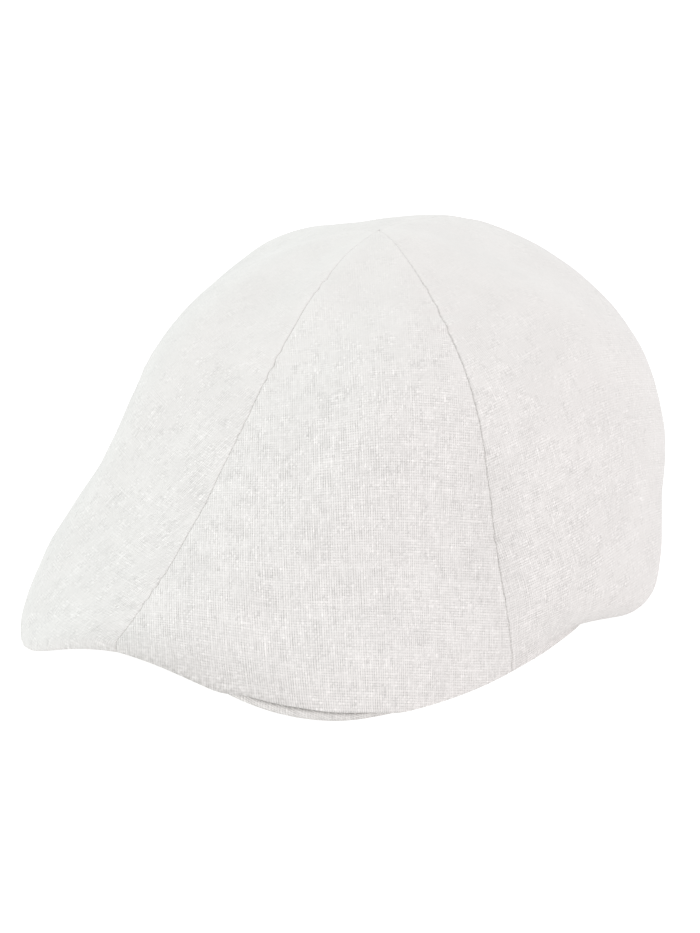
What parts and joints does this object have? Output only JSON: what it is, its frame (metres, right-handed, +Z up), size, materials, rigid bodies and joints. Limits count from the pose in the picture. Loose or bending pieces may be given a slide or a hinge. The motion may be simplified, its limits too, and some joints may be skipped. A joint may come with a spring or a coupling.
{
  "type": "duckbill cap",
  "caption": "Soft off-white linen cap of sewn gores that sweep forward over a short arched bill.",
  "frame": {"origin": "middle of the cap's plan, on the surface that it rests on", "axes": "+Z up, front and bill toward -Y, the wearer's left toward +X"},
  "size_m": [0.2204, 0.2752, 0.135],
  "materials": {
    "linen": "matte plain-weave linen",
    "bill_linen": "matte plain-weave linen over a stiff sheet"
  },
  "bodies": {
    "root": {"front_left_panel": "linen", "front_right_panel": "linen", "side_left_panel": "linen", "side_right_panel": "linen", "bill": "bill_linen"}
  },
  "joints": []
}
